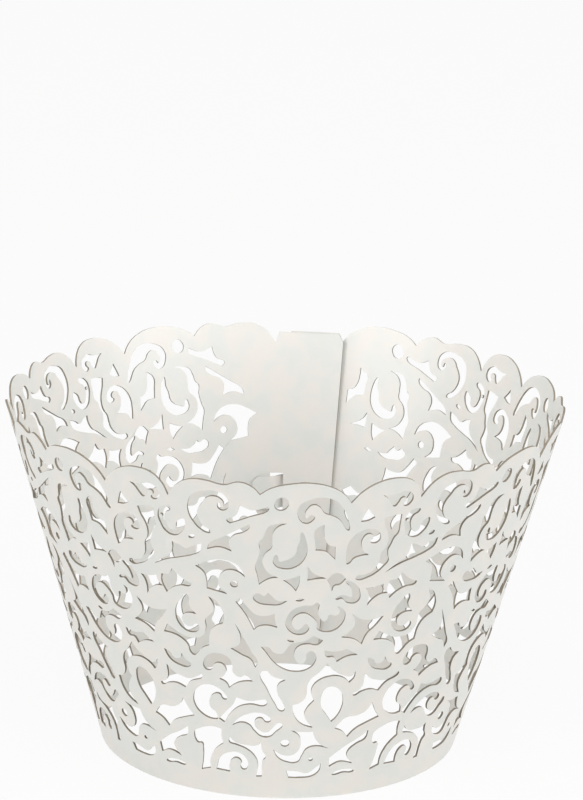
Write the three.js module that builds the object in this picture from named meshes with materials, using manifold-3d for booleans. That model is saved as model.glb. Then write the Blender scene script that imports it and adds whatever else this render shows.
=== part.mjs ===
// Lace cupcake wrapper: one sheet of pearl card, cut into vine scrolls and wrapped into an open cone.
// Millimetres, +Z up, base edge on z = 0, axis on Z, the front faces -Y and the seam is at the back.
import * as THREE from 'three';
import { mergeVertices } from 'three/addons/utils/BufferGeometryUtils.js';
import Module from 'manifold-3d';

const wasm = await Module();
wasm.setup();

// Driving dimensions
const baseRadius = 26;
const rimRadius = 40.2;
const height = 51.1;
const cardThickness = 0.3;
const repeats = 7;
const facetsPerRepeat = 4;
const seamGap = 0.16;
const seamMargin = 1.5;
const endStripHeight = 0.965;
const tabHeight = 5;
const tabReach = 3.2;
const slotWidth = 1.7;
const slotClearance = 0.4;

// The cone, with a fold line at each edge of a facet, and its flat blank, whose arcs centre on the origin
const slope = Math.hypot(rimRadius - baseRadius, height);
const flare = (rimRadius - baseRadius) / slope;
const rise = height / slope;
const wall = cardThickness / rise;
const flatRadius = baseRadius / flare;
const repeatAngle = 360 / repeats;
const facetAngle = repeatAngle / facetsPerRepeat;
const halfFacet = THREE.MathUtils.degToRad(facetAngle / 2);
const lastFold = repeats * facetsPerRepeat / 2;
const firstFold = -lastFold - 1;
const spread = 1 + (wall + seamGap) / baseRadius;

// The outer end strip is spread clear of the inner one that it overlaps
function spreadAt(fold) {
  return fold >= lastFold - 1 ? spread : 1;
}

// A point on the flat-sided cone: turn in degrees from the front, up along the slope, out from the face
function wrap(turn, up, out = 0, facet = Math.floor(turn / facetAngle)) {
  const local = THREE.MathUtils.degToRad(turn - facetAngle * (facet + 0.5));
  const start = Math.sin(halfFacet - local) / spreadAt(facet);
  const end = Math.sin(halfFacet + local) / spreadAt(facet + 1);
  const chord = Math.sin(2 * halfFacet) / (start + end);
  const reach = (baseRadius + up * flare) * chord + out / Math.cos(local);
  const angle = THREE.MathUtils.degToRad(turn);
  return new THREE.Vector3(reach * Math.sin(angle), -reach * Math.cos(angle), up * rise);
}

// The same point on the flat blank
function lay(turn, up) {
  const angle = THREE.MathUtils.degToRad(turn) * flare;
  return new THREE.Vector2((flatRadius + up) * Math.sin(angle), (flatRadius + up) * Math.cos(angle));
}

function toGeometry(solid) {
  const mesh = solid.getMesh();
  const geometry = new THREE.BufferGeometry();
  geometry.setAttribute('position', new THREE.BufferAttribute(mesh.vertProperties, 3));
  geometry.setIndex(new THREE.BufferAttribute(mesh.triVerts, 1));
  return geometry;
}

function toSolid(geometry) {
  geometry.deleteAttribute('normal');
  geometry.deleteAttribute('uv');
  const merged = mergeVertices(geometry, 1e-4);
  return new wasm.Manifold(new wasm.Mesh({
    numProp: 3,
    vertProperties: new Float32Array(merged.attributes.position.array),
    triVerts: new Uint32Array(merged.index.array),
  }));
}

// The cutting pattern is drawn flat round the point (0, -drawnRadius), one repeat drawnPitch degrees wide
const drawnRadius = 97.3;
const drawnSlope = 53;
const drawnPitch = 13.75;

// Where a drawn point of one repeat comes on the cone
function place([x, y], repeat) {
  const drawnTurn = THREE.MathUtils.radToDeg(Math.atan2(x, y + drawnRadius));
  const turn = (drawnTurn / drawnPitch + repeat) * repeatAngle;
  const up = (Math.hypot(x, y + drawnRadius) - drawnRadius) * slope / drawnSlope;
  return [turn, up];
}

// One repeat of the vine scrolls, row by row from the rim down
const cuts = {
  rimHook: [[-8.9, 47.3], [-7.5, 48.7], [-8.4, 50.4], [-10.6, 50.6], [-12.4, 49.6], [-13, 47.2],
    [-12.2, 45.1], [-10.2, 43.9], [-11.6, 46.2], [-11, 48.6], [-9.4, 49.4]],
  rimWedge: [[-5.8, 49], [-4, 48.3], [-1.7, 49], [-7.3, 45.9]],
  stemFork: [[-4.3, 46], [-7, 43.6], [-6.8, 41.4], [-10.2, 41.3], [-8.3, 43.4]],
  leafCup: [[-15.5, 47.1], [-17.3, 45.9], [-16.9, 43.4], [-15.2, 42.2], [-13.1, 44.3], [-14.2, 45.4],
    [-15.3, 43.6], [-16.1, 45.4]],
  longWedge: [[-18, 36.7], [-12, 40], [-11, 41.9], [-15.3, 41.2], [-15.8, 38.9]],
  tallGap: [[0.5, 46.4], [-1.2, 45.2], [-1.3, 42.5], [-2.6, 40.3], [-0.5, 37.7], [-3, 36.5], [-3.6, 39.4],
    [-3, 43.6], [-1.8, 46]],
  rimDrop: [[-1.2, 50.2], [0, 50.9], [0.5, 48.4], [-0.9, 49]],
  ringHook: [[-1.1, 41], [-0.6, 39.3], [1.4, 39.1], [3.1, 40.6], [3.4, 42.9], [2.6, 45], [1.8, 42.2],
    [0.4, 40.7]],
  rimCrescent: [[4.2, 47.2], [2.9, 46.4], [2.1, 48.2], [3, 50], [5.1, 50.8], [7.4, 49.2], [9.1, 45],
    [4.6, 49.3], [3.3, 48.4]],
  leafStar: [[5.6, 46.2], [4.3, 45.1], [4.5, 42.1], [7.2, 40.4], [7.2, 42.5], [5.8, 43.7]],
  coil: [[8.7, 39.4], [8.8, 42.4], [10.4, 44.5], [12.8, 44.4], [13.4, 42.5], [12, 42.5], [11.4, 43.7],
    [10.8, 42], [11.9, 40.5]],
  longHook: [[13.9, 46.2], [16.5, 46.2], [16, 43.1], [14.8, 41], [14.7, 38.8], [12.6, 36.9], [10.2, 36.6],
    [12.8, 38.2], [14.5, 42.4]],
  rimCurl: [[13.6, 49.9], [17.1, 49.6], [18, 47.8], [16.3, 48.7], [15.2, 47.7]],
  eyeScroll: [[-11.9, 38.1], [-9.2, 39.7], [-6.6, 39.6], [-4.9, 37.5], [-7, 38.3], [-8.6, 36.6],
    [-7.4, 34.4], [-10.2, 34.7], [-10.5, 37.2]],
  eye: [[-6.9, 35.8], [-6.1, 35.6], [-5.9, 36.4], [-6.6, 36.6]],
  twoSpikes: [[-16.1, 32.5], [-14.5, 34], [-12.4, 34.7], [-15.3, 36.6], [-16.9, 35.3]],
  lobeStar: [[11.6, 35.2], [14.3, 35.1], [14.9, 33.4], [11.9, 32]],
  nine: [[-13.2, 33], [-11.7, 30], [-13.6, 29.4], [-13.2, 27.8], [-11.6, 28.3], [-11.4, 27.1],
    [-13.3, 26.7], [-14.8, 28.8], [-14.5, 31.2]],
  crescentStar: [[-10, 33.4], [-8.3, 32.2], [-7.8, 29.4], [-9.7, 27.8], [-9.8, 25.2], [-12, 23],
    [-13.4, 24.9], [-16.6, 25.5], [-16.1, 27], [-13.2, 25.9], [-10.7, 26.7], [-10.3, 29.4], [-9.1, 31.3]],
  stemLeaf: [[-6.2, 29.6], [-3, 22.7], [-4.8, 24.5], [-6.8, 25.2], [-5.4, 26.8]],
  kite: [[-6.2, 33.2], [-5.5, 33.9], [-3.6, 31.5], [-0.8, 31.7], [-0.4, 29.4], [-3.6, 28.9]],
  smile: [[-3.6, 34.7], [-3, 33.3], [-0.6, 33.1], [0.9, 33.9], [-1.8, 35.1]],
  bud: [[6.2, 37.2], [7.6, 38.2], [8.8, 37], [6.9, 35.2]],
  budHook: [[8.8, 36.8], [10.6, 35.4], [10.8, 33.4], [9.9, 32.5], [8, 33.8], [9.4, 34.4]],
  doubleCoil: [[5, 33.5], [2.6, 33], [0.9, 31.5], [0.9, 29.3], [2.7, 28.2], [3.9, 29.5], [2.3, 29.2],
    [1.7, 30.7], [3.2, 31.8], [5, 29.2], [6.8, 28.4], [8.7, 29.9], [7.7, 31.1], [5.9, 30.3]],
  fourPoint: [[8.4, 27.3], [10.5, 29], [9.8, 31.2], [11.8, 29.6], [14.5, 29.7], [12.3, 27.4], [11.4, 25.6]],
  swan: [[-2.6, 26.1], [-0.8, 25.2], [0.9, 25.6], [2, 27], [4.6, 27.9], [5.8, 27.1], [2.8, 26.4],
    [2.2, 24], [3.5, 23.7], [4.2, 25.4], [5, 24.1], [3.7, 22.3], [1.5, 22.1], [-0.9, 23.7]],
  bridgeGap: [[6.1, 25.4], [9.4, 25.2], [10.9, 23.9], [7.9, 23.2]],
  petal: [[12.3, 23.1], [13.8, 21.7], [15, 22.5], [16.1, 20.7], [13.6, 20.6]],
  cane: [[-10.5, 21.2], [-10.3, 23], [-8.5, 24.1], [-6.6, 23.2], [-6.3, 21], [-3.6, 20.2], [-6.9, 18.5],
    [-8.3, 19.8], [-7.6, 22], [-9.3, 22.2]],
  threePoint: [[10.3, 17.2], [11.6, 18], [12.1, 20.5], [14, 18.7], [17.4, 19.1], [14.2, 16.8]],
  stemTip: [[-2.5, 21.9], [0.9, 20.6], [-0.2, 19.2], [0.8, 15.4], [0.2, 15.4]],
  sideGap: [[6.6, 23.1], [7.8, 21.5], [10.7, 21.1], [9.8, 19.3], [7, 20.8], [4.6, 19.2], [4.8, 16.9],
    [3.6, 14.6], [4.8, 12.2], [2.4, 14], [1.9, 16.3], [3.8, 17.8], [4.2, 20.6]],
  oval: [[7.4, 12.9], [6, 15.2], [5.9, 17.8], [7.2, 19.1], [8.8, 17.7], [8.9, 15]],
  tent: [[9.8, 9.8], [11.6, 11.3], [14.5, 12.1], [13.4, 15], [12.2, 13.4], [9.6, 13.3], [7.9, 11.7]],
  archLine: [[-1.7, 16.3], [-2, 17.1], [-5.9, 16.9], [-8.1, 12.8], [-7.4, 12.4], [-5.5, 15.6]],
  bigC: [[-7.2, 16.5], [-8.4, 18.3], [-10.6, 18.3], [-12.1, 16.2], [-11.4, 13.6], [-8.9, 12.7],
    [-9.7, 15.4], [-8.5, 17.2]],
  lowCoil: [[-6.4, 12.1], [-4.6, 14.2], [-2.4, 14.7], [-1.1, 13.6], [-3.1, 13.4], [-1.6, 11.5],
    [0.5, 12.6], [-1.4, 10.6], [-4, 12.4]],
  seed: [[0.5, 9.4], [1.2, 9.1], [1.6, 9.9], [0.8, 10.3]],
  wave: [[-0.6, 8.5], [1.2, 6.4], [2.8, 6.3], [4.1, 8.6], [7.2, 8.3], [4.9, 11.5], [1.8, 11.8], [3.2, 9.8],
    [2, 7.7]],
  footLeaf: [[1.2, 4.9], [4, 4.3], [6.1, 5.8], [5.2, 3.7], [1.6, 3.5]],
  footFlag: [[7.3, 5], [9, 5.6], [10.7, 4.9], [9.9, 6.9], [13, 9.8], [7.3, 6.6]],
  archGap: [[-11.9, 8.7], [-10.7, 7.8], [-10.8, 3.2], [-9.4, 3.8], [-9.2, 6.6], [-7.6, 8.7], [-7.9, 11.2],
    [-10.5, 10.8]],
  archCoil: [[-8.6, 3.9], [-6.6, 3.9], [-6.4, 6.1], [-5.1, 6.1], [-4.1, 5.4], [-4.9, 7.3], [-7, 7.3]],
  archHorn: [[-6.7, 10.1], [-2.4, 9.7], [-1.6, 7.2], [-2.1, 3.7], [-2.9, 3.6], [-3.1, 6.8]],
};

// The rim's three scallops, each from valley to valley
const scallops = [
  [[-15.9, 48.6], [-14.6, 50.7], [-12.9, 51.9], [-10.6, 52.2], [-8, 51.9], [-6, 52.6], [-4.3, 52.1], [-3.1, 50.9]],
  [[-3.1, 50.9], [-1.6, 52], [0.8, 52.7], [4, 52.8], [6.6, 52], [8.3, 50.7], [9.2, 49.3]],
  [[9.2, 49.3], [10.8, 50.9], [13, 52], [15.6, 52.2], [17.6, 51.5], [18.8, 50], [19.2, 48.2]],
];

// Half-height slot and tab that close the seam
const tabLevel = slope / 2;
const tabRadius = baseRadius + tabLevel * flare;
const perMm = THREE.MathUtils.radToDeg(1 / tabRadius);
const slotFrom = -180 + 0.1 * perMm;
const slotTo = -180 + (slotWidth + slotClearance) * perMm;
const slotLow = tabLevel - tabHeight / 2 - slotClearance;
const slotHigh = tabLevel + tabHeight / 2 + slotClearance;

// Upper edge of the blank: inner end strip, scalloped rim and outer end strip
const endTop = slope * endStripHeight;
const rim = [];
for (let i = 0; i < repeats; i += 1) {
  for (const scallop of scallops) {
    rim.push(...scallop.slice(0, -1).map((point) => place(point, i - (repeats - 1) / 2)));
  }
}
rim.length -= scallops[scallops.length - 1].length - 2;
const innerEnd = firstFold * facetAngle;
const outerEnd = lastFold * facetAngle;
const upperEdge = [
  [innerEnd, endTop - 1.2], [innerEnd + 1, endTop], [rim[0][0] - 0.8, endTop],
  ...rim,
  [rim[rim.length - 1][0] + 0.8, endTop], [outerEnd - 1, endTop], [outerEnd, endTop - 1.2],
];

function upperEdgeAt(turn) {
  const after = Math.max(1, upperEdge.findIndex(([edgeTurn]) => edgeTurn >= turn));
  const [turnA, upA] = upperEdge[after - 1];
  const [turnB, upB] = upperEdge[after];
  return [turn, THREE.MathUtils.mapLinear(turn, turnA, turnB, upA, upB)];
}

// Flat card between two faces, 1 thick until it is folded
function extrude(points, low, high) {
  const shape = new THREE.Shape(points.map(([turn, up]) => lay(turn, up)));
  return toSolid(new THREE.ExtrudeGeometry(shape, { depth: high - low, bevelEnabled: false }).translate(0, 0, low));
}

// The blank is joined facet by facet, which leaves an edge along each fold line
const facets = [];
for (let fold = firstFold; fold < lastFold; fold += 1) {
  const from = fold * facetAngle;
  const to = (fold + 1) * facetAngle;
  const edgePoints = upperEdge.filter(([turn]) => turn > from && turn < to).reverse();
  facets.push(extrude([[from, 0], [to, 0], upperEdgeAt(to), ...edgePoints, upperEdgeAt(from)], 0, 1));
}
let flatSheet = wasm.Manifold.union(facets);

// Cut the slot and every repeat's holes, apart from those that would reach into a plain end strip
const slot = [[slotFrom, slotLow], [slotTo, slotLow], [slotTo, slotHigh], [slotFrom, slotHigh]];
flatSheet = flatSheet.subtract(extrude(slot, -1, 2));
const holesFrom = slotTo + seamMargin * 2;
const holesTo = 180 - facetAngle - seamMargin;
for (let i = 0; i < repeats; i += 1) {
  for (const cut of Object.values(cuts)) {
    const hole = cut.map((point) => place(point, i - (repeats - 1) / 2));
    if (hole.every(([turn]) => turn > holesFrom && turn < holesTo)) {
      flatSheet = flatSheet.subtract(extrude(hole, -1, 2));
    }
  }
}

// Fold the cut blank into the cone
const foldedSheet = flatSheet.warp((corner) => {
  const [x, y, z] = corner;
  const turn = THREE.MathUtils.radToDeg(Math.atan2(x, y)) / flare;
  const folded = wrap(turn, Math.hypot(x, y) - flatRadius, (z - 1) * wall);
  corner[0] = folded.x;
  corner[1] = folded.y;
  corner[2] = folded.z;
});

// The tab leaves the outer end strip, dips through the slot and lies against the inside
const lift = tabRadius * (spread - 1) * Math.cos(halfFacet);
const inside = -wall - seamGap;
const tabStations = [
  { at: -1, outer: lift - wall * 0.2, inner: lift - wall * 0.8 },
  { at: 0.15, outer: lift, inner: lift - wall },
  { at: slotWidth, outer: inside, inner: inside - wall },
  { at: slotWidth + tabReach, outer: inside, inner: inside - wall },
];
const tabShape = new THREE.BoxGeometry(tabStations.length - 1, tabHeight, 1, tabStations.length - 1, 1, 1);
const tabCorners = tabShape.attributes.position;
for (let i = 0; i < tabCorners.count; i += 1) {
  const { at, outer, inner } = tabStations[Math.round(tabCorners.getX(i) + (tabStations.length - 1) / 2)];
  const out = tabCorners.getZ(i) > 0 ? outer : inner;
  const corner = wrap(-180 + at * perMm, tabLevel + tabCorners.getY(i), out);
  tabCorners.setXYZ(i, corner.x, corner.y, corner.z);
}

const sheet = toGeometry(foldedSheet.add(toSolid(tabShape)));
sheet.computeVertexNormals();

const pearlCard = new THREE.MeshStandardMaterial({ color: '#e6e4df', roughness: 0.42, metalness: 0.05 });
const wrapper = new THREE.Mesh(sheet, pearlCard);
wrapper.name = 'lace_wrapper';

const group = new THREE.Group();
group.name = 'cupcake_wrapper';
group.add(wrapper);

export default group;
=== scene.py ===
from math import atan2, ceil, cos, degrees, floor, hypot, radians, sin

import bmesh
import bpy
from mathutils import Matrix, Vector


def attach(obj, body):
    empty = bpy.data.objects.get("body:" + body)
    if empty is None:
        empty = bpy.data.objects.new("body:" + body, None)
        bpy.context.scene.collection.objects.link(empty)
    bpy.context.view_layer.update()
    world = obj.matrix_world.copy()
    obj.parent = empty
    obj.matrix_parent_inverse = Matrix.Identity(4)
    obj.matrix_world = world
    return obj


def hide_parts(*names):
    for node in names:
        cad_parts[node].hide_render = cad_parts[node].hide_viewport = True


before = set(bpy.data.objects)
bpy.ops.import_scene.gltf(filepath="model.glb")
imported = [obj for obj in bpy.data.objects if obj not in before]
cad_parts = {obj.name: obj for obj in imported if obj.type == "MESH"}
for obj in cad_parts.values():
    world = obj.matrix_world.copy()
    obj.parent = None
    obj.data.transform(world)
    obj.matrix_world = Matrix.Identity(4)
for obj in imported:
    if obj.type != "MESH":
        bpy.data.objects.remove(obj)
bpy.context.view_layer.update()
print("stage 1: frame loaded")

mm = 0.001

# The sheet of card as it stands, in mm and degrees, with its rim a hair inside the solid's
sheet = {
    "baseRadius": 26.0,
    "rimRadius": 39.96,
    "height": 51.0,
    "card": 0.3,
    "repeats": 7,
    "facetsPerRepeat": 4,
    "seamGap": 0.16,       # air between the two layers of the overlap
    "seamMargin": 1.5,     # degrees that the lace keeps off the plain ends
    "endStripHeight": 0.965,    # height of the plain ends, as a part of the slope
    "endCorner": (1.0, 1.2),    # their corners, degrees and mm
    "endOverrun": 0.8,     # degrees that their tops run past the first and last scallop
    "tabHeight": 5.0,
    "tabReach": 3.2,
    "tabCorner": (1.5, 0.9),    # degrees and mm
    "slotStart": 0.1,
    "slotWidth": 1.7,
    "slotClearance": 0.4,
    "bendStep": 2.0,       # degrees between the lines that the card is bent along
    "flatWithin": 0.8,     # faces that turn less than this are one flat face
    "tabBendStep": 0.7,    # the tab dips through its slot, so it bends tighter
    "curveSteps": 5,       # points on each curved stretch of a cut
    "strokeTip": 0.9,      # how far a stroke's round tip reaches, in half widths
    "dotPoints": 8,
    "mergeWithin": 0.002,
    "cutFace": 0.7,        # a face that looks outwards or inwards less than this is a cut edge
    "sharpFrom": 35,       # degrees
}

# How the cutting pattern is drawn: flat, one repeat wide, round the point (0, -radius)
drawing = {"radius": 97.3, "slope": 53.0, "pitch": 13.75}    # mm, mm and degrees

# Cuts with a free outline. Points are x, y in mm on the drawing, and a third value of 1 makes
# a sharp corner
outlines = {
    "rimWedge": [(-5.8, 49, 1), (-4, 48.4), (-2, 49.1, 1), (-1.8, 48.7), (-4.5, 47.2),
                 (-7.1, 45.9, 1), (-7.6, 46.4), (-6.4, 47.2), (-6, 48)],
    "stemFork": [(-4.5, 46.1, 1), (-4.4, 45.6), (-5.2, 44.7), (-6.6, 44), (-7.15, 42.9),
                 (-6.8, 41.4, 1), (-8.5, 41.8), (-10.2, 41.2, 1), (-9.9, 42.2), (-8.3, 43.4),
                 (-6.5, 44.7)],
    "longWedge": [(-18, 36.6, 1), (-16, 38), (-14, 38.9), (-12, 39.9), (-11.2, 40.6),
                  (-11, 41.9, 1), (-12.4, 41.2), (-13.2, 40.6), (-14.2, 41), (-15.3, 41.2, 1),
                  (-15.2, 40.2), (-15.6, 39), (-16.4, 38.3)],
    "tallGap": [(0.6, 46.5, 1), (-0.8, 46.4), (-1.8, 46), (-2.3, 45), (-2.6, 44), (-3.1, 43.4),
                (-3, 42), (-3.3, 40.4), (-3.6, 39.4), (-3.3, 38), (-3, 36.4, 1), (-2.2, 37.1),
                (-1.2, 37.6), (-0.4, 37.7, 1), (-1.6, 38.3), (-2.4, 39.4), (-2.6, 40.4),
                (-2.2, 41.6), (-1.4, 42.5), (-1.3, 43.8), (-1.2, 45), (-0.6, 45.9)],
    "topSpark": [(2.5, 38.1, 1), (2.4, 36.6), (2, 35.5, 1), (1.2, 36.5), (0.2, 37.3, 1),
                 (1.3, 37.6)],
    "leafStar": [(5.6, 46.2, 1), (4.8, 45.8), (4.3, 45.1), (4.4, 43.5), (4.5, 42.1, 1), (5.9, 41.8),
                 (6.6, 41.1), (7.2, 40.4, 1), (7.2, 42.5, 1), (6.4, 42.8), (5.8, 43.7), (5.6, 45)],
    "rimSpark": [(11.6, 48.1, 1), (11, 47), (10.6, 46.1, 1), (11.6, 46.1), (12.6, 46.5, 1),
                 (12.1, 47.2)],
    "coil": [(8.8, 39.4, 1), (8.7, 41), (8.9, 42.6), (9.7, 43.9), (10.8, 44.6), (12, 44.8),
             (13.2, 44.1), (13.5, 43), (13.2, 42.4), (12.4, 42.3), (12, 42.7), (12.4, 43.1),
             (12.3, 43.7), (11.6, 43.9), (11, 43.3), (10.8, 42.4), (11.1, 41.3), (11.9, 40.5, 1),
             (10.8, 40.5), (9.8, 40.2), (9.2, 39.5)],
    "longHook": [(13.9, 46.1, 1), (15.2, 46.3), (16.5, 46.2, 1), (16.3, 44.5), (16.1, 43.2),
                 (15.5, 42.5), (15.1, 41.6), (14.7, 40.8), (14.7, 39.8), (14.8, 38.9), (14, 38),
                 (13, 37.2), (11.8, 36.7), (10.6, 36.5), (10.1, 36.8, 1), (10.3, 37.3),
                 (11.2, 37.3), (12.4, 37.7), (13.2, 38.6), (13.5, 39.6), (13.7, 40.5), (14.3, 41.3),
                 (14.6, 42.4), (14.5, 43.6), (14.1, 44.8)],
    "eyeScroll": [(-11.9, 38.1, 1), (-10.4, 39.1), (-8.6, 39.8), (-6.9, 39.7), (-5.6, 38.9),
                  (-4.9, 37.4, 1), (-5.8, 38.1), (-7, 38.35), (-8.1, 37.7), (-8.6, 36.5),
                  (-8.4, 35.3), (-7.3, 34.3, 1), (-8.8, 34.5), (-10.2, 34.7, 1), (-10.3, 36.2),
                  (-10.7, 37.3)],
    "twoSpikes": [(-16.1, 32.4, 1), (-15.3, 33.4), (-14, 34.2), (-12.6, 34.5), (-12.4, 35, 1),
                  (-13.6, 35.4), (-15.3, 36.7, 1), (-15.8, 35.6), (-16.9, 35.3, 1), (-16.9, 34)],
    "lobeStar": [(11.6, 35.1, 1), (12.9, 35), (14.2, 35.2, 1), (14.3, 34.2), (14.9, 33.5, 1),
                 (13.8, 33.5), (12.7, 32.9), (11.9, 32, 1), (12.1, 33.2), (12, 34.3)],
    "nine": [(-13.2, 33), (-12.8, 32.6), (-12.75, 31.3), (-11.7, 30, 1), (-12.9, 29.9),
             (-13.7, 29.3), (-13.75, 28.4), (-13.1, 27.7), (-12.3, 27.8), (-11.7, 28.4),
             (-11.3, 28.1), (-11.4, 27.3), (-12.3, 26.75), (-13.4, 26.9), (-14.4, 27.8),
             (-14.8, 29.2), (-14.6, 30.8), (-14, 31.9)],
    "crescentStar": [(-10, 33.4, 1), (-9, 33), (-8.2, 31.9), (-7.75, 30.5), (-7.9, 29.3, 1),
                     (-9, 28.6), (-9.7, 27.4), (-9.8, 25.2, 1), (-10.8, 24.5), (-11.5, 23.4),
                     (-12, 22.95), (-12.6, 23.4), (-12.9, 24.4), (-13.8, 25.2), (-15.2, 25.6),
                     (-16.6, 25.5, 1), (-16.1, 27, 1), (-15, 26.5), (-13.8, 26), (-12.6, 25.9),
                     (-11.4, 26.1), (-10.6, 26.9), (-10.3, 28.2), (-10.4, 29.4), (-9.8, 30.3),
                     (-9.3, 31), (-9.2, 31.9)],
    "stemLeaf": [(-6.2, 29.6, 1), (-5, 27.4), (-3.9, 25.2), (-3, 23.4), (-3.3, 22.5, 1), (-4, 23.8),
                 (-5.2, 24.4), (-6.8, 25.3, 1), (-5.7, 26), (-5.4, 27.2)],
    "kite": [(-6.2, 33.2, 1), (-5.5, 33.9, 1), (-4.4, 32.4), (-3.3, 31.4), (-2, 31.3),
             (-0.8, 31.7, 1), (-0.7, 30.6), (-0.4, 29.4, 1), (-1.8, 29.7), (-3, 29.4),
             (-3.6, 28.8, 1), (-4.1, 29.9), (-5, 31.6)],
    "smile": [(-3.4, 34.9), (-3.8, 34.2), (-3.2, 33.4), (-1.6, 33.1), (-0.2, 33.2), (0.9, 33.9, 1),
              (-0.5, 33.9), (-1.1, 34.5), (-1.8, 35.2, 1), (-2.3, 34.6), (-2.9, 34.9)],
    "lowSpark": [(3.5, 39.6, 1), (4.2, 38.5), (6.1, 37.4, 1), (4.9, 37.4), (3.5, 37.2, 1),
                 (3.5, 38.4)],
    "bud": [(6.2, 37.2, 1), (7.2, 38.1), (8.2, 37.9), (8.8, 37, 1), (8, 36.2), (7.2, 36),
            (6.9, 35.2, 1), (6.6, 36.3)],
    "doubleCoil": [(4.9, 33.5), (4.3, 33.1), (3.2, 33.1), (1.9, 32.6), (0.9, 31.3), (0.7, 29.9),
                   (1.4, 28.7), (2.7, 28.2), (3.7, 28.7), (3.9, 29.5), (3.4, 30), (3, 29.5),
                   (2.3, 29.1), (1.7, 29.7), (1.6, 30.7), (2.2, 31.5), (3.2, 31.8), (4.2, 31.2),
                   (4.9, 30.2), (5, 29.1), (6, 28.5), (7.4, 28.6), (8.5, 29.6), (8.9, 30.9),
                   (8.6, 32), (7.8, 32.6, 1), (8.1, 31.7), (7.7, 31.1), (6.6, 31.3), (6.4, 30.6),
                   (6, 30.3), (5.4, 30.9), (5.1, 32), (5.2, 33.3)],
    "fourPoint": [(8.4, 27.3, 1), (9.4, 28), (10.3, 29.2), (9.8, 31.2, 1), (11.2, 29.9),
                  (12.8, 29.5), (14.5, 29.7, 1), (13.2, 28.2), (12.1, 27.2), (11.4, 25.6, 1),
                  (10.2, 26.7)],
    "swan": [(-2.6, 26.1, 1), (-1.5, 26.1), (-0.9, 25.3), (0.4, 25.1), (0.9, 25.8), (1.6, 26.8),
             (3.2, 27.1), (4.6, 28, 1), (5.9, 27.1, 1), (5.2, 26.4), (3.8, 26.6), (2.6, 26.3),
             (2, 25.3), (2.2, 24), (3, 23.3), (3.6, 24), (3.7, 25), (4.4, 25.4), (5, 24.5),
             (4.8, 23.3), (3.8, 22.3), (2.1, 22), (0.3, 22.6), (-1, 23.8), (-1.8, 25)],
    "bridgeGap": [(6.1, 25.4, 1), (7.6, 25), (9.3, 25.2, 1), (9.9, 24.7), (10.9, 23.9, 1),
                  (9.4, 23.9), (7.9, 23.2, 1), (7.4, 24.1), (6.5, 24.2)],
    "petal": [(12.3, 23.1, 1), (13.1, 22.7), (13.8, 21.7), (14.7, 21.8), (15, 22.6, 1),
              (15.4, 21.6), (16.1, 20.9), (15.6, 20.3), (14.2, 20.5), (12.9, 21.4)],
    "cane": [(-10.5, 21.2), (-10.5, 22.6), (-9.6, 23.8), (-8.4, 24.1), (-7.1, 23.7), (-6.5, 22.5),
             (-6.4, 21.3), (-5.4, 20.6), (-4.7, 21), (-3.6, 20.1, 1), (-5, 19.9), (-6.1, 19.3),
             (-6.9, 18.5, 1), (-7.3, 19.3), (-8.3, 19.8, 1), (-7.6, 20.6), (-7.4, 21.7),
             (-8.2, 22.5), (-9.1, 22.1), (-9.3, 21.3), (-9.9, 20.9)],
    "threePoint": [(10.3, 17.3, 1), (11.5, 17.9), (12.1, 20.5, 1), (12.9, 19.4), (14.2, 18.7),
                   (15.2, 18.4), (17.3, 19.2, 1), (17.4, 18.8), (15.3, 17.9), (14.2, 16.8, 1),
                   (13, 17.4), (11.6, 17.3), (10.5, 16.9)],
    "stemTip": [(-2.5, 21.8), (-1.7, 22.1, 1), (-0.9, 21.2), (0.9, 20.6, 1), (-0.1, 19.8),
                (-0.2, 18.4), (0.6, 16.6), (0.8, 15.4), (0.3, 15.2), (-0.5, 16.4), (-1.6, 18.8)],
    "sideGap": [(6.6, 23.1, 1), (7.6, 21.7), (9, 20.7), (10, 20.4), (10.7, 21.1, 1), (10.5, 20),
                (9.8, 19.3, 1), (9.2, 20.1), (8.2, 20.7), (6.9, 20.8), (5.5, 20.3), (4.6, 19.2),
                (4.5, 18), (4.9, 16.9, 1), (3.9, 15.6), (3.6, 14.4), (4.8, 12.2, 1), (3.3, 12.9),
                (2.2, 14.4), (1.9, 16.3, 1), (3, 16.7), (3.8, 17.9), (3.9, 19.5), (4.4, 20.7),
                (5.5, 21.7)],
    "oval": [(7.4, 12.9, 1), (6.7, 14.2), (6, 15.5), (5.9, 17.4), (6.6, 18.9), (7.6, 19),
             (8.6, 18.1), (9, 16.6), (8.8, 15), (8.1, 13.6)],
    "tent": [(9.8, 9.8, 1), (10.9, 10.9), (12.6, 11.6), (14.5, 12.1, 1), (13.9, 13.4),
             (13.4, 15, 1), (12.6, 13.9), (11.2, 13.3), (9.6, 13.3), (7.9, 11.7, 1), (9, 11)],
    "archLine": [(-1.7, 16.2), (-1.8, 17.1), (-2.3, 17.1, 1), (-4.2, 16.7), (-5.9, 17.1, 1),
                 (-6.2, 16), (-7.2, 14.5), (-8.3, 12.9, 1), (-7.5, 12.4, 1), (-6.8, 13.9),
                 (-5.6, 15.4), (-4, 16.1)],
    "bigC": [(-7.2, 16.5), (-7.6, 17.5), (-8.7, 18.3), (-10.2, 18.4), (-11.5, 17.4), (-12.1, 15.7),
             (-11.8, 14.2), (-10.8, 13.1), (-9.3, 12.6), (-8.4, 12.8, 1), (-8.7, 13.9),
             (-9.5, 14.6), (-9.7, 15.8), (-9.2, 16.9), (-8.3, 17.2), (-7.7, 16.4)],
    "lowCoil": [(-6.4, 12.1, 1), (-5.6, 13.4), (-4.3, 14.4), (-2.8, 14.8), (-1.5, 14.4), (-1, 13.6),
                (-1.6, 13.2), (-2.4, 13.9), (-3.1, 13.6), (-3.2, 12.6), (-2.6, 11.8), (-1.6, 11.5),
                (-0.8, 12.2), (0.1, 13.2), (0.6, 12.9), (-0.3, 11.6), (-1.2, 10.7), (-2.3, 10.7),
                (-3.3, 11.6), (-4.1, 12.6), (-5.2, 12.8)],
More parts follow.
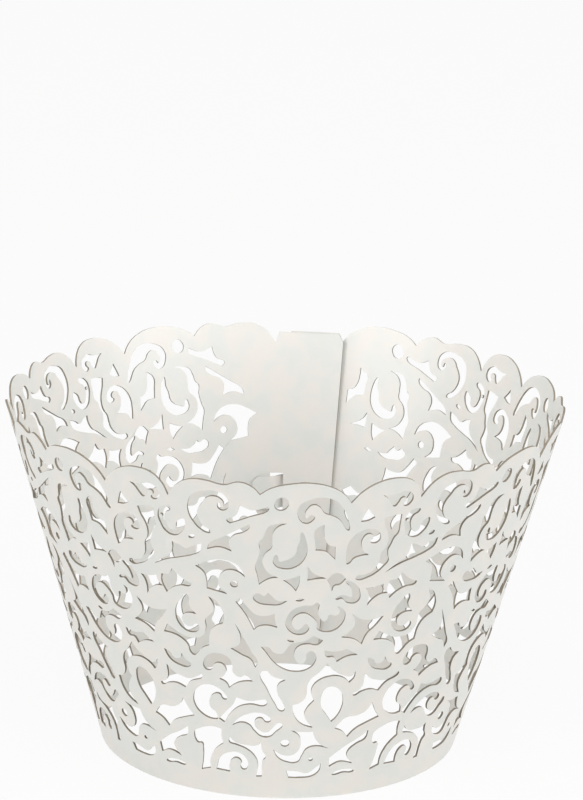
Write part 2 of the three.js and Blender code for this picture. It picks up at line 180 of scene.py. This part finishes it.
    "wave": [(-0.6, 8.5, 1), (0, 7.2), (1.2, 6.4), (2.8, 6.3), (3.4, 7.4), (4.1, 8.6), (5.4, 8.9),
             (7.2, 8.3, 1), (5.9, 9.2), (5.2, 10.3), (4.9, 11.5, 1), (3.2, 11.6), (1.8, 11.9, 1),
             (2.9, 11), (3.2, 9.8), (2.9, 8.4), (2, 7.6), (0.8, 7.6)],
    "footLeaf": [(1.2, 4.9, 1), (2.8, 4.7), (4.2, 4.3), (5.2, 5), (6.1, 5.8, 1), (5.9, 4.5),
                 (5, 3.7), (3.2, 3.5), (1.6, 3.6, 1)],
    "footFlag": [(7.3, 5, 1), (8.8, 5.6), (10.7, 4.9, 1), (9.9, 6.3), (10, 7.2), (11.2, 8.2),
                 (12.6, 8.8), (13, 10.2, 1), (11.6, 9.3), (9.6, 8.3), (8.3, 7.4), (7.3, 6.6, 1)],
    "archGap": [(-11.9, 8.5, 1), (-11.4, 7.8), (-10.8, 7.9), (-10.6, 7), (-10.6, 5),
                (-10.8, 3.2, 1), (-9.4, 3.9, 1), (-9.5, 5.2), (-9.1, 6.8), (-8.4, 7.9),
                (-7.6, 8.7, 1), (-7.9, 10), (-7.9, 11.2, 1), (-9.3, 11.3), (-10.9, 10.6),
                (-11.9, 9.7)],
    "archCoil": [(-8.6, 3.9, 1), (-6.6, 3.9, 1), (-6.7, 5.2), (-6.3, 6.2), (-5.6, 6.5), (-5, 5.9),
                 (-5.1, 5), (-4.6, 4.6), (-4.1, 5.3), (-4.3, 6.6), (-5.4, 7.5), (-6.8, 7.3),
                 (-8, 6.2)],
    "archHorn": [(-6.7, 10.1, 1), (-6, 9.3), (-4.3, 9), (-2.9, 9.1), (-2.3, 9.6, 1), (-2.1, 8.2),
                 (-1.6, 7.2), (-2, 6.5), (-2.1, 3.7, 1), (-2.9, 3.6, 1), (-2.7, 5.8), (-3.2, 7.2),
                 (-4.4, 8.3), (-5.8, 8.8), (-6.8, 9.1)],
    "rimCurl": [(13.6, 49.9, 1), (14.6, 49.7), (15.6, 49.75), (16.6, 49.95), (17.5, 49.6),
                (18.05, 48.7), (17.7, 47.7), (16.9, 47.4), (16.55, 47.8), (17, 48.3), (16.9, 48.8),
                (16.3, 48.8), (15.9, 48.2), (15.3, 47.7), (14.8, 48.3), (14.3, 49.2)],
    "smallSlit": [(1.9, 33.9, 1), (2.7, 34.3), (3.2, 34.1, 1), (2.6, 33.8)],
}

# Cuts that are a bent stroke: x, y and half the width at each point along its middle
strokes = {
    "rimHook": [(-8.7, 48.9, 0.15), (-8.5, 48.2, 0.25), (-7.95, 48.15, 0.3), (-7.65, 49, 0.35),
                (-8.2, 50, 0.45), (-9.3, 50.35, 0.45), (-10.6, 50, 0.55), (-11.6, 49.2, 0.9),
                (-12.2, 48, 0.8), (-12.3, 46.8, 0.65), (-11.8, 45.5, 0.5), (-10.9, 44.5, 0.4),
                (-10, 44.1, 0.3)],
    "leafCup": [(-15.7, 46.6, 0.35), (-16.6, 46, 0.5), (-16.9, 45, 0.5), (-16.6, 43.9, 0.45),
                (-15.9, 42.9, 0.45), (-15, 42.7, 0.45), (-14.3, 43.3, 0.5), (-14, 44.3, 0.65),
                (-13.7, 45, 0.4)],
    "ringHook": [(-0.8, 41.2, 0.25), (-0.7, 40.1, 0.45), (0.3, 39.8, 0.7), (1.6, 40.2, 0.8),
                 (2.5, 41.3, 0.75), (2.7, 42.6, 0.7), (2.8, 43.9, 0.4), (2.6, 45, 0.15)],
    "rimCrescent": [(3.9, 47.4, 0.45), (3.1, 46.9, 0.45), (2.5, 47.8, 0.5), (2.7, 49, 0.6),
                    (3.9, 49.9, 0.5), (5.2, 49.8, 0.8), (6.3, 49, 1.2), (7.4, 48.1, 0.9),
                    (8.2, 47, 0.55), (8.6, 46, 0.4), (8.9, 45.1, 0.2)],
    "budHook": [(8.9, 36.6, 0.15), (9.8, 35.8, 0.4), (10.3, 34.6, 0.55), (10.1, 33.4, 0.65),
                (9.2, 33.5, 0.5), (8.4, 34.1, 0.3), (7.6, 33.9, 0.2)],
    "footSlit": [(7.9, 3.6, 0.2), (9.4, 3.85, 0.3), (10.8, 3.5, 0.2)],
    "sideSlit": [(1.1, 27.35, 0.12), (1.8, 27.15, 0.12)],
}

# Punched drops and dots: middle, half sizes and tilt in degrees
dots = {
    "rimDrop": (-0.2, 49.6, 0.95, 1.1, -30),
    "stemDot": (-12.4, 42.8, 0.5, 0.3, 30),
    "leafDot": (17.4, 44.9, 0.25, 0.25, 0),
    "eye": (-6.4, 36.1, 0.55, 0.55, 0),
    "seed": (1.0, 9.7, 0.62, 0.62, 0),
    "lowDot": (4.65, 6.7, 0.3, 0.3, 0),
}

# The rim's three scallops, each from valley to valley
scallops = [
    [(-15.9, 48.6, 1), (-14.6, 50.7), (-12.9, 51.9), (-10.6, 52.2), (-8, 51.9), (-6, 52.6),
     (-4.3, 52.1)],
    [(-3.1, 50.9, 1), (-1.6, 52), (0.8, 52.7), (4, 52.8), (6.6, 52), (8.3, 50.7)],
    [(9.2, 49.3, 1), (10.8, 50.9), (13, 52), (15.6, 52.2), (17.6, 51.5), (18.8, 50)],
]

slope = hypot(sheet["rimRadius"] - sheet["baseRadius"], sheet["height"])
flare = (sheet["rimRadius"] - sheet["baseRadius"]) / slope
rise = sheet["height"] / slope
wall = sheet["card"] / rise
repeatAngle = 360 / sheet["repeats"]
middleRepeat = (sheet["repeats"] - 1) / 2
facetAngle = repeatAngle / sheet["facetsPerRepeat"]
innerEnd = -180 - facetAngle
outerEnd = 180.0
tabLevel = slope / 2
tabRadius = sheet["baseRadius"] + tabLevel * flare
perMm = degrees(1 / tabRadius)
drawnPerTurn = drawing["pitch"] / repeatAngle
drawnPerUp = drawing["slope"] / slope


def toTurn(x, y):    # from the drawing to degrees round the cone and mm up its slope
    turn = degrees(atan2(x, y + drawing["radius"])) / drawnPerTurn
    return turn, (hypot(x, y + drawing["radius"]) - drawing["radius"]) / drawnPerUp


def toDrawing(turn, up, corner=True):
    angle = radians(turn * drawnPerTurn)
    radius = drawing["radius"] + up * drawnPerUp
    return radius * sin(angle), radius * cos(angle) - drawing["radius"], corner


def inRepeat(points, repeat):    # the same points some repeats further round the sheet
    moved = []
    for x, y, *corner in points:
        turn, up = toTurn(x, y)
        moved.append(toDrawing(turn + repeat * repeatAngle, up, bool(corner)))
    return moved


def strokeOutline(points):    # both sides of a bent stroke and its two round tips
    middle = [Vector(point[:2]) for point in points]
    left, right, tips = [], [], []
    for i, (x, y, half) in enumerate(points):
        along = (middle[min(i + 1, len(points) - 1)] - middle[max(i - 1, 0)]).normalized()
        left.append(middle[i] + Vector((-along.y, along.x)) * half)
        right.append(middle[i] - Vector((-along.y, along.x)) * half)
        if i in (0, len(points) - 1):
            tips.append(middle[i] + along * half * sheet["strokeTip"] * (-1 if i == 0 else 1))
    return [tuple(point) for point in (tips[0], *left, tips[1], *reversed(right))]


def dotOutline(x, y, halfWidth, halfHeight, tilt):
    turned = Matrix.Rotation(radians(tilt), 2)
    angles = [radians(a) for a in range(0, 360, 360 // sheet["dotPoints"])]
    corners = [Vector((halfWidth * cos(angle), halfHeight * sin(angle))) for angle in angles]
    return [tuple(Vector((x, y)) + turned @ corner) for corner in corners]


# Slot in the inner end and tab on the outer end, at half height
slotFrom = -180 + sheet["slotStart"] * perMm
slotTo = -180 + (sheet["slotWidth"] + sheet["slotClearance"]) * perMm
slotLow = tabLevel - sheet["tabHeight"] / 2 - sheet["slotClearance"]
slotHigh = tabLevel + sheet["tabHeight"] / 2 + sheet["slotClearance"]
tabLow = tabLevel - sheet["tabHeight"] / 2
tabHigh = tabLevel + sheet["tabHeight"] / 2
tabEnd = outerEnd + (sheet["slotWidth"] + sheet["tabReach"]) * perMm
endTop = slope * sheet["endStripHeight"]


def blankOutline():    # base arc, outer end with its tab, scalloped rim, inner end
    degreeSteps = range(ceil(outerEnd - innerEnd) + 1)
    arc = [toDrawing(min(innerEnd + step, outerEnd), 0) for step in degreeSteps]
    aside, off = sheet["tabCorner"]
    tab = [(outerEnd, tabLow), (tabEnd - aside, tabLow), (tabEnd, tabLow + off),
           (tabEnd, tabHigh - off), (tabEnd - aside, tabHigh), (outerEnd, tabHigh)]
    rim = []
    for i in range(sheet["repeats"]):
        for scallop in scallops:
            rim += inRepeat(scallop, i - middleRepeat)
    rim = rim[:1 - len(scallops[-1])]
    rimFrom = toTurn(*rim[0][:2])[0] - sheet["endOverrun"]
    rimTo = toTurn(*rim[-1][:2])[0] + sheet["endOverrun"]
    aside, off = sheet["endCorner"]
    outer = [(outerEnd, endTop - off), (outerEnd - aside, endTop), (rimTo, endTop)]
    inner = [(rimFrom, endTop), (innerEnd + aside, endTop), (innerEnd, endTop - off)]
    tab, outer, inner = ([toDrawing(*corner) for corner in part] for part in (tab, outer, inner))
    return [*arc, *tab, *outer, *reversed(rim), *inner]


def holeOutlines():
    cuts = dict(outlines)
    cuts.update({name: strokeOutline(points) for name, points in strokes.items()})
    cuts.update({name: dotOutline(*dot) for name, dot in dots.items()})
    slot = [(slotFrom, slotLow), (slotTo, slotLow), (slotTo, slotHigh), (slotFrom, slotHigh)]
    holes = [[toDrawing(*corner) for corner in slot]]
    first = slotTo + sheet["seamMargin"] * 2
    last = outerEnd - facetAngle - sheet["seamMargin"]
    for i in range(sheet["repeats"]):
        for name, cut in cuts.items():
            if name == "lowDot" and i == sheet["repeats"] - 1:    # alone in the plain end
                continue
            hole = inRepeat(cut, i - middleRepeat)
            turns = [toTurn(x, y)[0] for x, y, corner in hole]
            if min(turns) > first and max(turns) < last:
                holes.append(hole)
    return holes


def flatLace():    # a filled flat curve, in mm on the drawing
    curve = bpy.data.curves.new("flatLace", "CURVE")
    curve.dimensions = "2D"
    curve.fill_mode = "BOTH"
    curve.resolution_u = sheet["curveSteps"]
    for outline in [blankOutline(), *holeOutlines()]:
        spline = curve.splines.new("BEZIER")
        spline.bezier_points.add(len(outline) - 1)
        spline.use_cyclic_u = True
        for point, (x, y, corner) in zip(spline.bezier_points, outline):
            point.co = (x, y, 0)
            kind = "VECTOR" if corner else "AUTO"
            point.handle_left_type = point.handle_right_type = kind
    drawn = bpy.data.objects.new("flatLace", curve)
    bpy.context.collection.objects.link(drawn)
    graph = bpy.context.evaluated_depsgraph_get()
    mesh = bpy.data.meshes.new_from_object(drawn.evaluated_get(graph))
    bpy.data.objects.remove(drawn)
    bpy.data.curves.remove(curve)
    return mesh


def easeBetween(value, low, high):
    part = min(max((value - low) / (high - low), 0), 1)
    return part * part * (3 - 2 * part)


def bend(x, y):    # from the flat drawing to the card's place on the cone, in metres
    turn, up = toTurn(x, y)
    radius = sheet["baseRadius"] + up * flare
    # the outer end lies over the inner one
    lift = radius * (wall + sheet["seamGap"]) / sheet["baseRadius"]
    out = lift * easeBetween(turn, outerEnd - 2 * facetAngle, outerEnd - facetAngle)
    if turn > outerEnd:    # the tab dips through its slot and lies against the inside
        inside = -wall - sheet["seamGap"]
        along = (turn - outerEnd) / perMm
        out += (inside - lift) * easeBetween(along, sheet["slotStart"], sheet["slotWidth"])
    angle = radians(turn)
    return Vector(((radius + out) * sin(angle), -(radius + out) * cos(angle), up * rise)) * mm


def lookOut(face):    # 1 where a face looks straight away from the axis, -1 where it looks at it
    middle = face.calc_center_median()
    return face.normal.dot(Vector((middle.x, middle.y, 0)).normalized())


def makeWrapper():
    bm = bmesh.new()
    bm.from_mesh(flatLace())
    bmesh.ops.remove_doubles(bm, verts=bm.verts, dist=sheet["mergeWithin"])
    sheetBends = ceil((outerEnd - innerEnd) / sheet["bendStep"])
    tabBends = floor((tabEnd - outerEnd) / sheet["tabBendStep"]) + 1
    bends = [innerEnd + sheet["bendStep"] * i for i in range(1, sheetBends)]
    bends += [outerEnd + sheet["tabBendStep"] * i for i in range(tabBends)]
    for turn in bends:    # an edge along each line that the card bends at
        angle = radians(turn * drawnPerTurn)
        bmesh.ops.bisect_plane(bm, geom=[*bm.verts, *bm.edges, *bm.faces], dist=0.001,
                               plane_co=(0, -drawing["radius"], 0),
                               plane_no=(cos(angle), -sin(angle), 0))
    for vert in bm.verts:
        vert.co = bend(vert.co.x, vert.co.y)
    bm.normal_update()
    inward = [face for face in bm.faces if lookOut(face) < 0]
    bmesh.ops.reverse_faces(bm, faces=inward)
    bmesh.ops.dissolve_limit(bm, verts=bm.verts, edges=bm.edges,
                             angle_limit=radians(sheet["flatWithin"]))
    bmesh.ops.solidify(bm, geom=bm.faces[:], thickness=sheet["card"] * mm)
    for vert in bm.verts:
        if vert.co.z < sheet["card"] * mm / 2:    # the base edge is cut level
            vert.co.z = 0
    bm.normal_update()
    for face in bm.faces:
        face.smooth = True
        face.material_index = int(abs(lookOut(face)) < sheet["cutFace"])
    mesh = bpy.data.meshes.new("laceWrapper")
    bm.to_mesh(mesh)
    bm.free()
    mesh.set_sharp_from_angle(angle=radians(sheet["sharpFrom"]))
    wrapper = bpy.data.objects.new("laceWrapper", mesh)
    bpy.context.collection.objects.link(wrapper)
    triangles = sum(len(face.vertices) - 2 for face in mesh.polygons)
    print("stage 2: wrapper made,", triangles, "triangles")
    return wrapper


wrapper = makeWrapper()
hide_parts("lace_wrapper")
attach(wrapper, "root")


def colour(hexCode):    # sRGB hex to the linear values that the shader takes
    channels = [int(hexCode[i:i + 2], 16) / 255 for i in (1, 3, 5)]
    return (*[c / 12.92 if c <= 0.04045 else ((c + 0.055) / 1.055) ** 2.4 for c in channels], 1.0)


def newMaterial(name):
    material = bpy.data.materials.new(name)
    material.use_nodes = True
    material.node_tree.nodes.clear()
    return material


def addNode(material, kind, settings=None, links=None):
    node = material.node_tree.nodes.new(kind)
    for name, value in (settings or {}).items():
        if isinstance(name, int) or name in node.inputs:
            node.inputs[name].default_value = value
        else:
            setattr(node, name, value)
    for name, source in (links or {}).items():
        material.node_tree.links.new(source, node.inputs[name])
    return node


# Pearlescent card, 250 g/m2: paper coated with mica pigment, so a near-white with a soft satin
# gloss and a fine felt tooth under it. Its shimmer is painted sheen: cool and warm tints painted
# into the base colour in patches some millimetres wide, with the gloss drifting over the same
# patches
pearlCard = {
    "warmSheenTint": "#e9e5df",
    "coolSheenTint": "#e2e3df",
    "sheenPatchMm": 4.0,        # size of the painted sheen patches, cool and warm
    "sheenPatchEdges": (0.38, 0.62),
    "cockleMm": 9.0,       # slow waves that the card takes when it is bent
    "cockle": 0.12,        # mm high
    "toothMm": 0.35,       # drawn a little coarser than the real 0.2 mm so that it shows
    "toothDepth": 0.05,    # mm
    "tooth": 0.12,
    "roughness": 0.42,
    "roughnessDrift": 0.06,
    "coat": 0.25,
    "coatRoughness": 0.35,
}

# The laser's cut: bare paper core, matt and toasted, with both its colours darkened further as
# painted shade for the shadow that falls on the cut edges
cutEdgeAndShade = {"pale": "#a59c8e", "toastedAndShaded": "#7d7466", "streakMm": 0.8, "roughness": 0.85}


def pearlMaterial(style):
    material = newMaterial("pearlescentCard")
    place = addNode(material, "ShaderNodeTexCoord").outputs["Object"]
    sheenAndGlossDrift = addNode(material, "ShaderNodeTexNoise",
                    {"Scale": 1 / (style["sheenPatchMm"] * mm), "Detail": 3.0}, {"Vector": place})
    patchFrom, patchTo = style["sheenPatchEdges"]
    paintedSheenPatches = addNode(material, "ShaderNodeMapRange", {"From Min": patchFrom, "From Max": patchTo},
                      {"Value": sheenAndGlossDrift.outputs["Fac"]})
    # painted sheen: the pearl's shimmer laid into the base colour as cool and warm tint patches
    tint = addNode(material, "ShaderNodeMix",
                   {"data_type": "RGBA", 6: colour(style["coolSheenTint"]), 7: colour(style["warmSheenTint"])},
                   {0: paintedSheenPatches.outputs["Result"]})
    tooth = addNode(material, "ShaderNodeTexNoise",
                    {"Scale": 1 / (style["toothMm"] * mm), "Detail": 2.0}, {"Vector": place})
    relief = addNode(material, "ShaderNodeBump",
                     {"Strength": style["tooth"], "Distance": style["toothDepth"] * mm},
                     {"Height": tooth.outputs["Fac"]})
    waves = addNode(material, "ShaderNodeTexNoise",
                    {"Scale": 1 / (style["cockleMm"] * mm), "Detail": 1.0}, {"Vector": place})
    surface = addNode(material, "ShaderNodeBump",
                      {"Strength": 1.0, "Distance": style["cockle"] * mm},
                      {"Height": waves.outputs["Fac"], "Normal": relief.outputs["Normal"]})
    gloss = addNode(material, "ShaderNodeMapRange",
                    {"To Min": style["roughness"] - style["roughnessDrift"],
                     "To Max": style["roughness"] + style["roughnessDrift"]},
                    {"Value": sheenAndGlossDrift.outputs["Fac"]})
    card = addNode(material, "ShaderNodeBsdfPrincipled",
                   {"IOR": 1.5, "Coat Weight": style["coat"],
                    "Coat Roughness": style["coatRoughness"]},
                   {"Base Color": tint.outputs[2], "Roughness": gloss.outputs["Result"],
                    "Normal": surface.outputs["Normal"]})
    addNode(material, "ShaderNodeOutputMaterial", {}, {"Surface": card.outputs["BSDF"]})
    return material


def cutEdgeShadeMaterial(style):
    material = newMaterial("laserCutEdgeAndShade")
    place = addNode(material, "ShaderNodeTexCoord").outputs["Object"]
    streak = addNode(material, "ShaderNodeTexNoise",
                     {"Scale": 1 / (style["streakMm"] * mm), "Detail": 2.0}, {"Vector": place})
    # painted shade: the toasted and the pale edge colour are both darker than the cut alone, to
    # stand for shadow on the edges
    tint = addNode(material, "ShaderNodeMix",
                   {"data_type": "RGBA", 6: colour(style["toastedAndShaded"]), 7: colour(style["pale"])},
                   {0: streak.outputs["Fac"]})
    core = addNode(material, "ShaderNodeBsdfPrincipled",
                   {"IOR": 1.5, "Roughness": style["roughness"]}, {"Base Color": tint.outputs[2]})
    addNode(material, "ShaderNodeOutputMaterial", {}, {"Surface": core.outputs["BSDF"]})
    return material


wrapper.data.materials.append(pearlMaterial(pearlCard))
wrapper.data.materials.append(cutEdgeShadeMaterial(cutEdgeAndShade))
print("stage 3: card finished")

# Studio: a pale floor that runs far back, soft lamps in front on the left and the right, a small
# one high in front for the inside, and a plain world
studio = {
    "floor": "#d4d4d2",
    "floorSize": 6.0,
    "ownWhite": 0.93,     # how much of the floor is seen as its own white, the rest is lit
    "world": "#ffffff",
    "worldStrength": 0.38,
    "key": {"place": (-0.74, -0.58, 0.3), "size": 0.5, "power": 4.2},
    "fill": {"place": (0.9, -0.42, 0.3), "size": 0.8, "power": 6.3},
    "top": {"place": (0.0, -0.4, 0.85), "size": 0.4, "power": 2.8},
}


def addLight(name, settings):
    light = bpy.data.lights.new(name, "AREA")
    light.energy = settings["power"]
    light.size = settings["size"]
    lamp = bpy.data.objects.new(name, light)
    lamp.location = settings["place"]
    lamp.rotation_euler = (-lamp.location).to_track_quat("-Z", "Y").to_euler()
    bpy.context.collection.objects.link(lamp)


def seenWhite(material):    # 1 where the camera or a gloss looks straight at the background
    path = addNode(material, "ShaderNodeLightPath")
    either = addNode(material, "ShaderNodeMath", {"operation": "MAXIMUM"},
                     {0: path.outputs["Is Camera Ray"], 1: path.outputs["Is Glossy Ray"]})
    return addNode(material, "ShaderNodeMath", {"operation": "MAXIMUM"},
                   {0: either.outputs[0], 1: path.outputs["Is Transmission Ray"]}).outputs[0]


def makeFloor():
    bm = bmesh.new()
    bmesh.ops.create_grid(bm, x_segments=1, y_segments=1, size=studio["floorSize"])
    mesh = bpy.data.meshes.new("floor")
    bm.to_mesh(mesh)
    bm.free()
    ground = bpy.data.objects.new("floor", mesh)
    bpy.context.collection.objects.link(ground)
    material = newMaterial("paleFloor")
    lit = addNode(material, "ShaderNodeBsdfDiffuse", {"Color": colour(studio["floor"])})
    white = addNode(material, "ShaderNodeEmission", {"Color": (1, 1, 1, 1), "Strength": 1.0})
    part = addNode(material, "ShaderNodeMath", {"operation": "MULTIPLY", 1: studio["ownWhite"]},
                   {0: seenWhite(material)})
    both = addNode(material, "ShaderNodeMixShader", {},
                   {0: part.outputs[0], 1: lit.outputs[0], 2: white.outputs[0]})
    addNode(material, "ShaderNodeOutputMaterial", {}, {"Surface": both.outputs[0]})
    mesh.materials.append(material)


def makeWorld():
    world = bpy.data.worlds.new("plainStudio")
    world.use_nodes = True
    world.node_tree.nodes.clear()
    bpy.context.scene.world = world
    seen = addNode(world, "ShaderNodeBackground", {"Color": (1, 1, 1, 1), "Strength": 1.0})
    lit = addNode(world, "ShaderNodeBackground",
                  {"Color": colour(studio["world"]), "Strength": studio["worldStrength"]})
    both = addNode(world, "ShaderNodeMixShader", {},
                   {0: seenWhite(world), 1: lit.outputs[0], 2: seen.outputs[0]})
    addNode(world, "ShaderNodeOutputWorld", {}, {"Surface": both.outputs[0]})


makeFloor()
makeWorld()
for name in ("key", "fill", "top"):
    addLight(name, studio[name])
print("stage 4: studio lit")

# The photograph's camera: in front and above, 0.5 m off, with the wrapper low in the frame
view = {
    "elevation": 20.23,
    "roll": 1.30,
    "distance": 500.0,
    "aimHeight": 20.0,
    "focal": 3434.6,           # px
    "aimPixel": (280.97, 599.16),
    "frame": (583, 800),
    "sensor": 36.0,            # mm
    "clip": (0.01, 20.0),
}


def addCamera():
    elevation, roll = radians(view["elevation"]), radians(view["roll"])
    away = Vector((0, -cos(elevation), sin(elevation)))
    right = Vector((1, 0, 0))
    up = right.cross(away) * -1
    side = right * cos(roll) + up * sin(roll)
    head = up * cos(roll) - right * sin(roll)
    # turn from the aimed point to the middle of the frame, so that no lens shift is needed
    offX = (view["frame"][0] / 2 - view["aimPixel"][0]) / view["focal"]
    offY = (view["aimPixel"][1] - view["frame"][1] / 2) / view["focal"]
    back = (away - side * offX - head * offY).normalized()
    side = head.cross(back).normalized()
    head = back.cross(side)
    camera = bpy.data.objects.new("camera", bpy.data.cameras.new("camera"))
    camera.data.sensor_width = view["sensor"]
    camera.data.lens = view["focal"] * view["sensor"] / max(view["frame"])
    camera.data.clip_start, camera.data.clip_end = view["clip"]
    place = Vector((0, 0, view["aimHeight"])) * mm + away * view["distance"] * mm
    turn = Matrix((side, head, back)).transposed().to_4x4()
    camera.matrix_world = Matrix.Translation(place) @ turn
    bpy.context.collection.objects.link(camera)
    bpy.context.scene.camera = camera


addCamera()
bpy.context.scene.view_settings.view_transform = "Standard"
print("stage 5: camera set")
